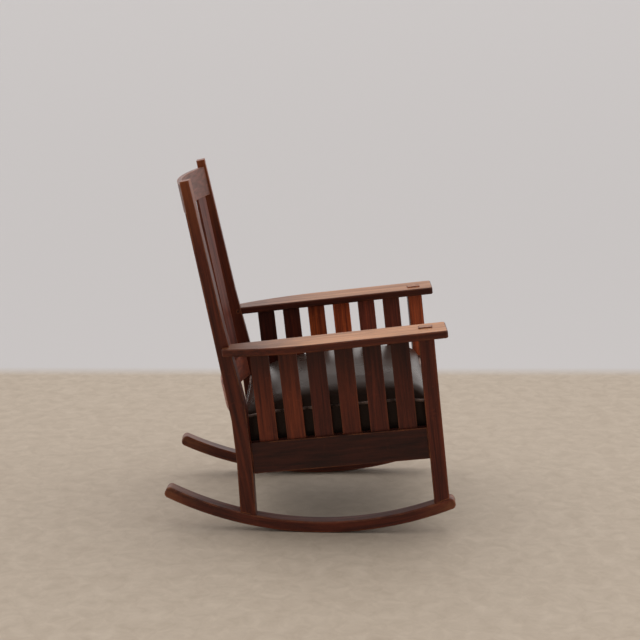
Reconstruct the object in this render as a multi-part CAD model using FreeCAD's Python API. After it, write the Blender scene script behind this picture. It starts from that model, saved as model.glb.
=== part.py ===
import FreeCAD, Part
import math
import os

# Mission rocking chair: two splayed side frames joined by cross rails, with a lift-out spring seat.
# Millimetres and degrees. The chair is drawn square, then tilted back to the way it rests.
# Heights run up the front posts from the floor. Depths run back from the axis of the front posts.

# Stance
rest_tilt = 6.25
splay = 3.0
front_half_width = 288.0
post_spacing = 535.0

# Posts
post_size = 43.0
post_leg_bend = 264.0
post_leg_lean = 3.0
post_bend_height = 383.0
post_lean = 5.0
post_swell_height = 424.0
post_waist_height = 648.0
post_waist_depth = 34.0
post_top_height = 1059.0
post_top_depth = 25.0
post_top_fall = 2.5
post_bend_radius = 600.0
post_edge = 1.5

# Rockers
rocker_radius = 975.0
rocker_contact = 360.0
rocker_height = 32.0
rocker_width = 44.0
rocker_toe = 36.0
rocker_heel = 233.0
rocker_nose = 13.0
rocker_edge = 2.5

# Seat rails
rail_bottom = 224.0
rail_height = 89.0
rail_thickness = 25.0
cross_rail_thickness = 22.0
cross_rail_inset = 4.0

# Arms
arm_top = 593.5
arm_thickness = 21.0
arm_inner = 243.0
arm_width = 115.0
arm_overhang = 35.0
arm_tail = 23.0
arm_curve_run = 268.0
arm_back_inset = 57.0
arm_front_corner = 8.0
arm_back_corner = 5.0
arm_edge = 2.5

# Side slats
side_slat_count = 6
side_slat_width = 51.0
side_slat_thickness = 10.0

# Back
back_bow = 43.0
back_lean = 5.3
back_setback = 4.5
crest_bottom = 953.0
crest_height = 84.0
crest_thickness = 13.0
lower_rail_bottom = 381.0
lower_rail_height = 70.0
lower_rail_thickness = 16.0
back_slat_count = 5
back_slat_width = 60.0
back_slat_gap = 30.0
back_slat_thickness = 8.0

# Joints: tenons have shoulders and sit in mortises with a small glue gap
joint_fit = 0.1
rail_tenon_length = 20.0
rail_tenon_thickness = 10.0
rail_tenon_shoulder = 12.0
bow_tenon_length = 12.0
bow_tenon_thickness = 7.0
bow_tenon_shoulder = 10.0
foot_tenon_depth = 16.0
foot_tenon_width = 24.0
foot_tenon_length = 28.0
arm_tenon_width = 29.0
arm_tenon_length = 38.0
arm_tenon_proud = 3.0
arm_tenon_chamfer = 1.5
slat_housing = 12.0
slat_top_housing = 9.0
slat_top_room = 1.0
peg_size = 8.0
peg_cover = 12.0
arm_peg_bite = 15.0
arm_peg_setback = 12.0

# Seat supports and screws
cleat_size = 20.0
block_leg = 65.0
block_height = 40.0
block_gap = 2.0
screw_shank = 5.0
screw_head = 11.0
screw_slot_width = 1.4
screw_slot_depth = 1.6
cleat_screw_count = 2
cleat_screw_margin = 40.0
cleat_screw_length = 38.0
block_screw_bite = 14.0

# Lift-out seat
seat_gap = 3.0
seat_front_gap = 3.0
seat_rear_gap = 6.0
seat_frame_depth = 22.0
seat_member_width = 50.0
seat_tenon_length = 15.0
seat_tenon_thickness = 8.0
seat_tenon_shoulder = 8.0
seat_corner = 14.0
leather = 2.0
leather_turn = 18.0
cambric = 1.0
web_thickness = 1.2
web_width = 50.0
web_fold = 22.0
web_count = 3
web_spread_across = 120.0
web_spread_along = 135.0
spring_height = 112.0
spring_diameter = 68.0
spring_wire = 3.6
spring_turns = 4
spring_bends = 6
burlap = 1.5
cavity_wall = 36.0
cushion_height = 86.0
cushion_shoulder = 9.0
cushion_crown = 56.0
cushion_crown_reach = 185.0
cushion_shoulder_steps = 3
cushion_crown_steps = 5
cushion_corner_steps = 4
cushion_side_steps = 6
cushion_brow = 5.0
cushion_draw = 5.0

# Worked out from the sizes above
tilt = math.radians(rest_tilt)
toe_out = math.radians(splay)
half_post = post_size / 2
rail_top = rail_bottom + rail_height
arm_bottom = arm_top - arm_thickness
arm_back_end = post_spacing + arm_tail
arm_curve_start = arm_back_end - arm_curve_run
back_face = post_spacing + half_post
back_front = post_spacing - half_post
post_back_slope = math.tan(math.radians(post_lean))
post_leg_slope = math.tan(math.radians(post_leg_lean))
leg_kick = post_leg_bend * post_leg_slope
reach = post_top_height
close = 0.01

ORIGIN = FreeCAD.Vector(0, 0, 0)
ACROSS = FreeCAD.Vector(1, 0, 0)
UP = FreeCAD.Vector(0, 0, 1)


def point(x, y, z):
    return FreeCAD.Vector(x, y, z)


def box(x0, x1, y0, y1, z0, z1):
    return Part.makeBox(x1 - x0, y1 - y0, z1 - z0, point(x0, y0, z0))


def prism(outline, z0, z1):
    """A plan outline of corners raised from one height to another."""
    corners = [point(x, y, z0) for x, y in outline]
    return Part.Face(Part.makePolygon(corners + corners[:1])).extrude(UP * (z1 - z0))


def eased(shape, radius, wanted):
    """The shape with its edges that pass the test rounded."""
    return shape.makeFillet(radius, [edge for edge in shape.Edges if wanted(edge)])


def chamfered(shape, size, wanted):
    """The shape with its edges that pass the test taken off at a slant."""
    return shape.makeChamfer(size, [edge for edge in shape.Edges if wanted(edge)])


def runs_along(edge, direction):
    """Whether a straight edge runs along a direction."""
    return abs(edge.tangentAt(edge.FirstParameter).dot(direction)) > 1 - close


def in_side_frame(shape):
    """From a side frame's own axes (outward, back, up) to its place on the left of the square chair."""
    placed = shape.copy()
    placed.rotate(ORIGIN, UP, splay)
    placed.translate(ACROSS * front_half_width)
    return placed


def side_point(outward, back, up):
    """A point of the left side frame in the square chair's axes."""
    x = front_half_width + outward * math.cos(toe_out) - back * math.sin(toe_out)
    y = outward * math.sin(toe_out) + back * math.cos(toe_out)
    return point(x, y, up)


def at_rest(shape):
    """Tilt a piece of the square chair back to the way the chair rests."""
    placed = shape.copy()
    placed.rotate(ORIGIN, ACROSS, -rest_tilt)
    return placed


def mirrored(shape):
    return shape.mirror(ORIGIN, ACROSS)


def inner_face(back):
    """Distance from the middle of the chair to the inner faces of the posts."""
    return front_half_width - half_post / math.cos(toe_out) - back * math.tan(toe_out)


def between_posts(extra):
    """The space between the inner faces of the posts, reaching into them by extra."""
    ends = (-reach, reach)
    right = [(inner_face(back) + extra, back) for back in ends]
    left = [(-x, back) for x, back in reversed(right)]
    return prism(right + left, -reach, 2 * reach)


def post_rear(height):
    """Depth of the back post's rear face, upright to its bend and leaning above it."""
    return back_face + max(0.0, height - post_bend_height) * post_back_slope


post_waist_front = post_rear(post_waist_height) - post_waist_depth
post_top_front = post_rear(post_top_height) - post_top_depth
post_front_slope = (post_top_front - post_waist_front) / (post_top_height - post_waist_height)
crest_middle = crest_bottom + crest_height / 2
crest_front = post_waist_front + (crest_middle - post_waist_height) * post_front_slope + back_setback
back_slope = math.tan(math.radians(back_lean))


def back_line(height):
    """Depth at which the front of the back rails and slats meets the posts."""
    return crest_front + (height - crest_middle) * back_slope


def screw(length, grow=0.0):
    """A countersunk wood screw with a slotted head at the origin, pointing down, or its hole."""
    head = screw_head / 2 + grow
    shank = screw_shank / 2 + grow
    seat = Part.makeCone(head, shank, head - shank, ORIGIN, -UP)
    shaft = Part.makeCylinder(shank, length + grow, ORIGIN, -UP)
    if grow:
        brim = Part.makeCylinder(head, joint_fit, ORIGIN, UP)
        return shaft.fuse([seat, brim]).removeSplitter()
    half_slot = screw_slot_width / 2
    slot = box(-head, head, -half_slot, half_slot, -screw_slot_depth, 0)
    return shaft.fuse(seat).removeSplitter().cut(slot)


def aimed(shape, start, direction):
    """A screw moved to its start and turned to run along a direction."""
    placed = shape.copy()
    placed.Placement = FreeCAD.Placement(start, FreeCAD.Rotation(-UP, direction))
    return placed


def front_post_blank():
    """Front post in its side frame: a square post with a tenon that comes up through the arm."""
    blank = box(-half_post, half_post, -half_post, half_post, 0, arm_bottom)
    blank = chamfered(blank, post_edge, lambda edge: runs_along(edge, UP))
    half_width = arm_tenon_width / 2
    half_length = arm_tenon_length / 2
    top = arm_top + arm_tenon_proud
    tenon = box(-half_width, half_width, -half_length, half_length, arm_bottom, top)
    rim = lambda edge: edge.CenterOfMass.z > top - arm_tenon_chamfer / 2
    return blank.fuse(chamfered(tenon, arm_tenon_chamfer, rim))


def back_post_blank():
    """Back post in its side frame: kicked back below the seat, bent back and tapered above it."""
    rear_top = post_top_height - post_top_fall
    outline = [
        (back_front + leg_kick, 0),
        (back_front, post_leg_bend),
        (back_front, post_swell_height),
        (post_waist_front, post_waist_height),
        (post_top_front, post_top_height),
        (post_rear(rear_top), rear_top),
        (back_face, post_bend_height),
        (back_face, post_leg_bend),
        (back_face + leg_kick, 0),
    ]
    corners = [point(-half_post, back, up) for back, up in outline]
    blank = Part.Face(Part.makePolygon(corners + corners[:1])).extrude(ACROSS * post_size)
    bends = (post_leg_bend, post_swell_height, post_waist_height, post_bend_height)
    at_bend = lambda edge: any(abs(edge.CenterOfMass.z - bend) < close for bend in bends)
    return eased(blank, post_bend_radius, lambda edge: runs_along(edge, ACROSS) and at_bend(edge))


def post_with_soft_edges(blank):
    """Take the long edges off a back post, leaving its foot and its top square."""
    def long_edge(edge):
        start, end = (vertex.Point for vertex in edge.Vertexes)
        return abs(start.x - end.x) < close and abs(start.z - end.z) > post_top_fall + close
    return chamfered(blank, post_edge, long_edge)


def side_rail():
    """Side seat rail in its side frame, tenoned into both posts."""
    body = box(-rail_thickness / 2, rail_thickness / 2, half_post, back_front, rail_bottom, rail_top)
    return body.fuse(rail_tenon(0.0))


def rail_tenon(grow):
    half = rail_tenon_thickness / 2 + grow
    first = half_post - rail_tenon_length - grow
    last = back_front + rail_tenon_length + grow
    low = rail_bottom + rail_tenon_shoulder - grow
    high = rail_top - rail_tenon_shoulder + grow
    return box(-half, half, first, last, low, high)


def side_slat(index, grow=0.0):
    """One side slat in its side frame, housed in the rail below and in the arm above."""
    clear = back_front - half_post - side_slat_count * side_slat_width
    gap = clear / (side_slat_count + 1)
    start = half_post + gap + index * (side_slat_width + gap)
    half = side_slat_thickness / 2 + grow
    low = rail_top - slat_housing
    high = arm_bottom + slat_top_housing + (slat_top_room if grow else 0.0)
    return box(-half, half, start - grow, start + side_slat_width + grow, low, high)


def arm_blank():
    """Left arm: a board with straight inner edge, its outer edge curving in to the back post."""
    outer = arm_inner + arm_width
    front = -half_post - arm_overhang
    radius = (arm_curve_run ** 2 + arm_back_inset ** 2) / (2 * arm_back_inset)
    half_turn = math.asin(arm_curve_run / radius) / 2
    start = point(outer, arm_curve_start, arm_bottom)
    middle_x = outer - radius * (1 - math.cos(half_turn))
    middle = point(middle_x, arm_curve_start + radius * math.sin(half_turn), arm_bottom)
    end = point(outer - arm_back_inset, arm_back_end, arm_bottom)
    back_inner = point(arm_inner, arm_back_end, arm_bottom)
    front_inner = point(arm_inner, front, arm_bottom)
    front_outer = point(outer, front, arm_bottom)
    edges = [
        Part.makeLine(front_inner, front_outer),
        Part.makeLine(front_outer, start),
        Part.Arc(start, middle, end).toShape(),
        Part.makeLine(end, back_inner),
        Part.makeLine(back_inner, front_inner),
    ]
    board = Part.Face(Part.Wire(edges)).extrude(UP * arm_thickness)
    half_up = UP * (arm_thickness / 2)
    corner_of = lambda edge, place: (edge.CenterOfMass - place - half_up).Length < close
    fronts = (front_inner, front_outer)
    board = eased(board, arm_front_corner, lambda edge: any(corner_of(edge, place) for place in fronts))
    board = eased(board, arm_back_corner, lambda edge: corner_of(edge, end))
    faces = (arm_bottom, arm_top)
    level = lambda edge: any(abs(edge.CenterOfMass.z - height) < close for height in faces)
    return chamfered(board, arm_edge, level)


def cross_rail(front, thickness, grow=0.0, tenon_only=False):
    """A straight rail across the chair between the posts, with a tenon at each end."""
    wide = front_half_width
    middle = front + thickness / 2
    half = rail_tenon_thickness / 2 + grow
    low = rail_bottom + rail_tenon_shoulder - grow
    high = rail_top - rail_tenon_shoulder + grow
    tenons = box(-wide, wide, middle - half, middle + half, low, high)
    tenons = tenons.common(between_posts(rail_tenon_length + grow))
    if tenon_only:
        return tenons
    body = box(-wide, wide, front, front + thickness, rail_bottom, rail_top).common(between_posts(0.0))
    return body.fuse(tenons)


def bow_radius():
    """Radius of the hollow front of the bowed back, from its bow between the posts."""
    half_span = inner_face(back_line(crest_bottom))
    return (half_span ** 2 + back_bow ** 2) / (2 * back_bow)


def bowed_band(skip, thickness, low, high):
    """An arched band behind the back's front line, sheared to the lean of the back."""
    radius = bow_radius() + skip
    centre = back_line(low) + back_bow - bow_radius()
    swing = math.asin((inner_face(back_line(crest_bottom)) + post_size) / bow_radius())
    on_arc = lambda size, turn: point(size * math.sin(turn), centre + size * math.cos(turn), low)
    outer = radius + thickness
    edges = [
        Part.Arc(on_arc(radius, -swing), on_arc(radius, 0.0), on_arc(radius, swing)).toShape(),
        Part.makeLine(on_arc(radius, swing), on_arc(outer, swing)),
        Part.Arc(on_arc(outer, swing), on_arc(outer, 0.0), on_arc(outer, -swing)).toShape(),
        Part.makeLine(on_arc(outer, -swing), on_arc(radius, -swing)),
    ]
    rise = high - low
    return Part.Face(Part.Wire(edges)).extrude(point(0, rise * back_slope, rise))


def bowed_tenons(thickness, low, high, grow=0.0):
    """Tenons on the ends of a bowed rail, flush with its rear face."""
    skip = thickness - bow_tenon_thickness - grow
    band = bowed_band(skip, bow_tenon_thickness + 2 * grow, low + bow_tenon_shoulder - grow,
                      high - bow_tenon_shoulder + grow)
    return band.common(between_posts(bow_tenon_length + grow))


def bowed_rail(thickness, low, high):
    """A bowed back rail between the posts, with a thinner tenon on each end."""
    body = bowed_band(0.0, thickness, low, high).common(between_posts(0.0))
    return body.fuse(bowed_tenons(thickness, low, high))


def back_slat(index, grow=0.0):
    """One flat back slat, square to the bow where it stands, housed in both back rails."""
    low = lower_rail_bottom + lower_rail_height - slat_housing
    high = crest_bottom + slat_top_housing + (slat_top_room if grow else 0.0)
    centre = back_line(low) + back_bow - bow_radius()
    radius = bow_radius() + crest_thickness / 2
    place = (index - (back_slat_count - 1) / 2) * (back_slat_width + back_slat_gap)
    turn = math.asin(place / radius)
    half_width = back_slat_width / 2 + grow
    half = back_slat_thickness / 2 + grow
    corners = [(-half_width, -half), (half_width, -half), (half_width, half), (-half_width, half)]
    outline = []
    for along, out in corners:
        x = (radius + out) * math.sin(turn) + along * math.cos(turn)
        y = centre + (radius + out) * math.cos(turn) - along * math.sin(turn)
        outline.append(point(x, y, low))
    rise = high - low
    return Part.Face(Part.makePolygon(outline + outline[:1])).extrude(point(0, rise * back_slope, rise))


# The rockers stand upright on the floor, under the feet of the posts
rocker_top_radius = rocker_radius - rocker_height
foot_reach = rocker_contact * math.sin(tilt) + rocker_radius * math.cos(tilt)
foot_rest = rocker_contact ** 2 + rocker_radius ** 2 - rocker_top_radius ** 2
foot_height = foot_reach - math.sqrt(foot_reach ** 2 - foot_rest)
foot_back = foot_height * math.sin(tilt)
rear_foot = post_spacing + leg_kick - foot_height * post_leg_slope
rocker_turn = math.degrees(math.atan(math.tan(toe_out) / math.cos(tilt)))
rocker_cos = math.cos(math.radians(rocker_turn))
foot_span = rear_foot * math.cos(toe_out) * math.cos(tilt) / rocker_cos
contact_along = (rocker_contact - foot_back) / rocker_cos


def under_left_posts(shape):
    """From a rocker's own axes (outward, back from the front foot, up) to its place at rest."""
    placed = shape.copy()
    placed.rotate(ORIGIN, UP, rocker_turn)
    placed.translate(point(front_half_width, foot_back, 0))
    return placed


def rocker_drum(radius, width):
    """A cylinder about the rocker's centre, as wide as asked."""
    start = point(-width / 2, contact_along, rocker_radius)
    return Part.makeCylinder(radius, width, start, ACROSS)


def rocker_blank():
    """Rocker in its own axes: an arched bar with rounded ends and eased edges."""
    middle_radius = rocker_radius - rocker_height / 2
    front = math.asin((-rocker_toe - contact_along) / middle_radius)
    back = math.asin((foot_span + rocker_heel - contact_along) / middle_radius)
    middle = (front + back) / 2
    on_arc = lambda size, turn: point(-rocker_width / 2, contact_along + size * math.sin(turn),
                                      rocker_radius - size * math.cos(turn))
    edges = [
        Part.Arc(*(on_arc(rocker_radius, turn) for turn in (front, middle, back))).toShape(),
        Part.makeLine(on_arc(rocker_radius, back), on_arc(rocker_top_radius, back)),
        Part.Arc(*(on_arc(rocker_top_radius, turn) for turn in (back, middle, front))).toShape(),
        Part.makeLine(on_arc(rocker_top_radius, front), on_arc(rocker_radius, front)),
    ]
    bar = Part.Face(Part.Wire(edges)).extrude(ACROSS * rocker_width)
    bar = eased(bar, rocker_nose, lambda edge: runs_along(edge, ACROSS))
    on_side = lambda edge: abs(abs(edge.CenterOfMass.x) - rocker_width / 2) < close
    return chamfered(bar, rocker_edge, on_side)


def foot_tenon(back, grow=0.0):
    """The tenon under a post, at rest, cut to the depth of its mortise in the rocker."""
    half_width = foot_tenon_width / 2 + grow
    half_length = foot_tenon_length / 2 + grow
    stick = box(-half_width, half_width, back - half_length, back + half_length, 0, rail_bottom)
    drum = under_left_posts(rocker_drum(rocker_top_radius + foot_tenon_depth + grow, 2 * rocker_width))
    return at_rest(in_side_frame(stick)).common(drum)


def footed(post, back):
    """A post at rest, its foot scribed to the top of the rocker and tenoned into it."""
    drum = under_left_posts(rocker_drum(rocker_top_radius, 2 * rocker_width))
    low = drum.BoundBox.ZMin
    upper = post.common(box(0, 2 * reach, -reach, 2 * reach, low + 2 * rail_bottom, 2 * reach))
    lower = post.cut(upper).common(drum)
    ring = foot_tenon(back).cut(drum)
    return lower.fuse([upper, ring]).removeSplitter()


def rocker_peg(along, grow=0.0):
    """A square peg from the inner side of the rocker through a foot tenon, in the rocker's axes."""
    turn = math.asin((along - contact_along) / rocker_top_radius)
    depth = rocker_top_radius + foot_tenon_depth / 2
    back = contact_along + depth * math.sin(turn)
    height = rocker_radius - depth * math.cos(turn)
    half = peg_size / 2 + grow
    inner = -rocker_width / 2
    outer = -inner - peg_cover + grow
    return box(inner, outer, back - half, back + half, height - half, height + half)


def arm_peg(grow=0.0):
    """A square peg from the inner side of the back post into the end of the arm, in its side frame."""
    back = arm_back_end - arm_peg_setback
    height = arm_bottom + arm_thickness / 2
    half = peg_size / 2 + grow
    end = half_post + arm_peg_bite + grow
    return box(-half_post, end, back - half, back + half, height - half, height + half)


# Lift-out seat, drawn in the square chair's axes
front_rail_front = -half_post + cross_rail_inset
rear_rail_front = back_face - cross_rail_inset - cross_rail_thickness
seat_front = front_rail_front + cross_rail_thickness + seat_front_gap
seat_back = rear_rail_front - seat_rear_gap
seat_frame_bottom = rail_top - seat_frame_depth
seat_bed = seat_frame_bottom - 2 * web_thickness - cambric
burlap_bottom = seat_frame_bottom + spring_height


def seat_half(back):
    return inner_face(back) - seat_gap


def seat_outline(inset):
    """Corners of the seat in plan, drawn in from its edge."""
    front = seat_front + inset
    back = seat_back - inset
    return [(-seat_half(front) + inset, front), (seat_half(front) - inset, front),
            (seat_half(back) - inset, back), (-seat_half(back) + inset, back)]


def cushion_section(inset, brow, draw, height):
    """Points round the cushion at one height: round corners, and sides drawn in between them."""
    front = seat_front + inset - brow
    back = seat_back - inset + brow
    corners = [(-seat_half(front) + inset, front), (seat_half(front) - inset, front),
               (seat_half(back) - inset, back), (-seat_half(back) + inset, back)]
    flat = [point(x, y, height) for x, y in corners]
    ring = []
    for index, corner in enumerate(flat):
        following = flat[(index + 1) % len(flat)]
        before = (flat[index - 1] - corner).normalize()
        after = (following - corner).normalize()
        half_angle = before.getAngle(after) / 2
        hub = corner + (before + after).normalize() * (seat_corner / math.cos(half_angle))
        first = corner + before * seat_corner - hub
        last = corner + after * seat_corner - hub
        turn = first.getAngle(last)
        for step in range(cushion_corner_steps + 1):
            share = step / cushion_corner_steps
            spoke = first * math.sin((1 - share) * turn) + last * math.sin(share * turn)
            ring.append(hub + spoke * (1 / math.sin(turn)))
        inward = UP.cross(after)
        run = (following - corner).Length - 2 * seat_corner
        for step in range(1, cushion_side_steps):
            share = step / cushion_side_steps
            along = after * (seat_corner + run * share)
            ring.append(corner + along + inward * (4 * draw * share * (1 - share)))
    return ring


def faceted(rings):
    """A closed solid of flat facets that joins rings of points, one above another."""
    facet = lambda corners: Part.Face(Part.makePolygon(corners + corners[:1]))
    faces = [facet(rings[0]), facet(rings[-1])]
    for lower, upper in zip(rings, rings[1:]):
        for index in range(len(lower)):
            faces.append(facet([lower[index - 1], lower[index], upper[index]]))
            faces.append(facet([lower[index - 1], upper[index], upper[index - 1]]))
    return Part.Solid(Part.Shell(faces)).removeSplitter()


def cushion_form(skin):
    """The crowned form of the seat, set in from its leather by a skin's thickness."""
    edge = rail_top + cushion_height - skin
    rings = [cushion_section(skin, 0.0, 0.0, height) for height in (seat_frame_bottom - leather, rail_top)]
    for step in range(cushion_shoulder_steps + 1):
        turn = math.pi / 2 * step / cushion_shoulder_steps
        inset = skin + cushion_shoulder * (1 - math.cos(turn))
        height = edge - cushion_shoulder * (1 - math.sin(turn))
        rings.append(cushion_section(inset, cushion_brow, cushion_draw, height))
    for step in range(1, cushion_crown_steps + 1):
        share = step / cushion_crown_steps
        inset = skin + cushion_shoulder + cushion_crown_reach * share
        height = edge + cushion_crown * (1 - (1 - share) ** 2)
        rings.append(cushion_section(inset, cushion_brow, cushion_draw, height))
    return faceted(rings)


def seat_cover():
    """The leather: a crowned skin, turned under the frame all round."""
    inside = cushion_form(leather).cut(box(-reach, reach, -reach, reach, 0, seat_frame_bottom))
    opening = prism(seat_outline(leather_turn), 0, seat_frame_bottom)
    return cushion_form(0.0).cut([inside, opening])


def seat_member_tenon(grow):
    """Stub tenons on both ends of the left side member of the seat frame."""
    middle = seat_frame_bottom + seat_frame_depth / 2
    half = seat_tenon_thickness / 2 + grow
    first = seat_front + leather + seat_member_width - seat_tenon_length - grow
    last = seat_back - leather - seat_member_width + seat_tenon_length + grow
    outer = seat_tenon_shoulder - grow
    inner = seat_member_width - seat_tenon_shoulder + grow
    plan = [(seat_half(back) - leather - inset, back) for inset, back in
            ((outer, first), (outer, last), (inner, last), (inner, first))]
    return prism(plan, middle - half, middle + half)


def seat_frame():
    """Front and rear members across the seat, and side members tenoned between them."""
    whole = cushion_form(leather).common(box(-reach, reach, -reach, reach, seat_frame_bottom, rail_top))
    first = seat_front + leather + seat_member_width
    last = seat_back - leather - seat_member_width
    slab = lambda front, back: box(-reach, reach, front, back, seat_frame_bottom, rail_top)
    mortises = [seat_member_tenon(joint_fit), mirrored(seat_member_tenon(joint_fit))]
    front = whole.common(slab(seat_front, first)).cut(mortises)
    rear = whole.common(slab(last, seat_back)).cut(mortises)
    strip = prism([(seat_half(back) - leather - inset, back) for inset, back in
                   ((0.0, first), (0.0, last), (seat_member_width, last), (seat_member_width, first))],
                  seat_frame_bottom, rail_top)
    left = strip.fuse(seat_member_tenon(0.0))
    return {"seat_frame_front": front, "seat_frame_rear": rear,
            "seat_frame_left": left, "seat_frame_right": mirrored(left)}


def seat_middle():
    return (seat_front + seat_back) / 2


def web_places(spread):
    return [(index - (web_count - 1) / 2) * spread for index in range(web_count)]


def seat_webbing():
    """Straps across under the frame, and straps along below them with doubled ends."""
    half = web_width / 2
    upper = seat_frame_bottom - web_thickness
    lower = upper - web_thickness
    straps = []
    for place in web_places(web_spread_along):
        back = seat_middle() + place
        end = seat_half(back + half) - leather_turn - seat_tenon_shoulder
        straps.append(box(-end, end, back - half, back + half, upper, seat_frame_bottom))
    first = seat_front + leather_turn + seat_tenon_shoulder
    last = seat_back - leather_turn - seat_tenon_shoulder
    for place in web_places(web_spread_across):
        strap = box(place - half, place + half, first, last, lower, upper)
        folds = [box(place - half, place + half, start, start + web_fold, upper, seat_frame_bottom)
                 for start in (first, last - web_fold)]
        straps.append(strap.fuse(folds))
    return Part.makeCompound(straps)


def seat_springs():
    """Coil springs of square wire, bent in short straights, on the crossings of the webbing."""
    radius = (spring_diameter - spring_wire) / 2
    height = spring_height - 2 * spring_wire
    count = spring_turns * spring_bends
    bends = []
    for index in range(count + 1):
        turn = 2 * math.pi * index / spring_bends
        bends.append(point(radius * math.cos(turn), radius * math.sin(turn), height * index / count))
    half = spring_wire / 2
    ahead = bends[1] - bends[0]
    side = ahead.cross(UP).normalize() * half
    over = side.cross(ahead).normalize() * half
    corners = [bends[0] + step for step in (side + over, over - side, -side - over, side - over)]
    section = Part.makePolygon(corners + corners[:1])
    coil = Part.makePolygon(bends).makePipeShell([section], True, False, 1)
    coils = []
    for along in web_places(web_spread_along):
        for across in web_places(web_spread_across):
            spring = coil.copy()
            spring.translate(point(across, seat_middle() + along, seat_frame_bottom + spring_wire))
            coils.append(spring)
    return Part.makeCompound(coils)


def seat_burlap():
    return prism(seat_outline(leather + cavity_wall), burlap_bottom, burlap_bottom + burlap)


def seat_stuffing():
    """Stuffing over the burlap and down round the springs to the frame."""
    low = burlap_bottom + burlap
    whole = cushion_form(leather)
    below = box(-reach, reach, -reach, reach, 0, rail_top)
    cavity = prism(seat_outline(leather + cavity_wall), 0, low)
    return whole.cut([below, cavity])


def seat_dust_cover():
    outline = [(place.x, place.y) for place in cushion_section(leather, 0.0, 0.0, seat_bed)]
    return prism(outline, seat_bed, seat_bed + cambric).removeSplitter()


def cleat():
    """Cleat along the inner side of a side rail, in its side frame."""
    inner = -rail_thickness / 2
    first = half_post + block_leg + block_gap
    last = back_front - block_leg - block_gap
    return box(inner - cleat_size, inner, first, last, seat_bed - cleat_size, seat_bed)


def cleat_screws(grow=0.0):
    first = half_post + block_leg + cleat_screw_margin
    last = back_front - block_leg - cleat_screw_margin
    step = (last - first) / (cleat_screw_count - 1)
    start = -rail_thickness / 2 - cleat_size
    height = seat_bed - cleat_size / 2
    return [aimed(screw(cleat_screw_length, grow), point(start, first + index * step, height), ACROSS)
            for index in range(cleat_screw_count)]


def corner_block(post_face, rail_face, away):
    """A left corner block in plan: against the side rail and a cross rail, cut round the post's corner."""
    inner = -rail_thickness / 2
    corners = [
        side_point(inner, post_face, 0),
        side_point(inner, post_face + away * block_leg, 0),
        point(inner_face(rail_face) - block_leg, rail_face, 0),
        point(inner_face(rail_face), rail_face, 0),
        side_point(-half_post, post_face, 0),
    ]
    block = prism([(place.x, place.y) for place in corners], seat_bed - block_height, seat_bed)
    face = (corners[2] - corners[1]).normalize()
    into = UP.cross(face) * away
    depth = (corners[4] - corners[1]).dot(into)
    head = (corners[1] + corners[2]) * 0.5 + UP * (seat_bed - block_height / 2)
    fixing = lambda grow: aimed(screw(depth + block_screw_bite, grow), head, into)
    return block, fixing


# Side frame on the left, in the square chair's axes
front_post = in_side_frame(front_post_blank())
back_post_square = in_side_frame(back_post_blank())
back_post = in_side_frame(post_with_soft_edges(back_post_blank()))
rail = in_side_frame(side_rail())
rail_mortise = in_side_frame(rail_tenon(joint_fit))
slat_range = range(side_slat_count)
slats = [in_side_frame(side_slat(index)) for index in slat_range]
slat_housings = [in_side_frame(side_slat(index, joint_fit)) for index in slat_range]
arm_tenon_hole = in_side_frame(box(-arm_tenon_width / 2 - joint_fit, arm_tenon_width / 2 + joint_fit,
                                   -arm_tenon_length / 2 - joint_fit, arm_tenon_length / 2 + joint_fit,
                                   rail_top, post_top_height))
arm = arm_blank().cut([back_post_square, arm_tenon_hole] + slat_housings)
arm = max(arm.Solids, key=lambda solid: solid.Volume)

# Cross rails and the bowed back
front_rail = cross_rail(front_rail_front, cross_rail_thickness)
rear_rail = cross_rail(rear_rail_front, cross_rail_thickness)
lower_rail_top = lower_rail_bottom + lower_rail_height
crest_top = crest_bottom + crest_height
back_slats = [back_slat(index) for index in range(back_slat_count)]
back_housings = [back_slat(index, joint_fit) for index in range(back_slat_count)]
crest_rail = bowed_rail(crest_thickness, crest_bottom, crest_top).cut(back_housings)
lower_back_rail = bowed_rail(lower_rail_thickness, lower_rail_bottom, lower_rail_top).cut(back_housings)
front_mortise = cross_rail(front_rail_front, cross_rail_thickness, joint_fit, True)
rear_mortises = [
    cross_rail(rear_rail_front, cross_rail_thickness, joint_fit, True),
    bowed_tenons(crest_thickness, crest_bottom, crest_top, joint_fit),
    bowed_tenons(lower_rail_thickness, lower_rail_bottom, lower_rail_top, joint_fit),
]

# Seat supports with their screws, and the pegs that hold the arms
seat_cleat = in_side_frame(cleat())
cleat_fixings = [in_side_frame(fixing) for fixing in cleat_screws()]
cleat_holes = [in_side_frame(hole) for hole in cleat_screws(joint_fit)]
front_block, front_fixing = corner_block(half_post, front_rail_front + cross_rail_thickness, 1)
rear_block, rear_fixing = corner_block(back_front, rear_rail_front, -1)
block_holes = [fixing(joint_fit) for fixing in (front_fixing, rear_fixing)]
arm_peg_hole = in_side_frame(arm_peg(joint_fit))

front_post = front_post.cut([rail_mortise, front_mortise, block_holes[0]])
back_post = back_post.cut([rail_mortise, block_holes[1], arm_peg_hole] + rear_mortises)
rail = rail.cut(slat_housings + cleat_holes)

# Rockers, and the posts fitted to them at rest
pegs = [rocker_peg(along) for along in (0.0, foot_span)]
peg_holes = [under_left_posts(rocker_peg(along, joint_fit)) for along in (0.0, foot_span)]
tenon_holes = [foot_tenon(back, joint_fit) for back in (0.0, rear_foot)]
rocker = under_left_posts(rocker_blank()).cut(tenon_holes + peg_holes)
front_post = footed(at_rest(front_post), 0.0).cut(peg_holes)
back_post = footed(at_rest(back_post), rear_foot).cut(peg_holes)

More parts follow.
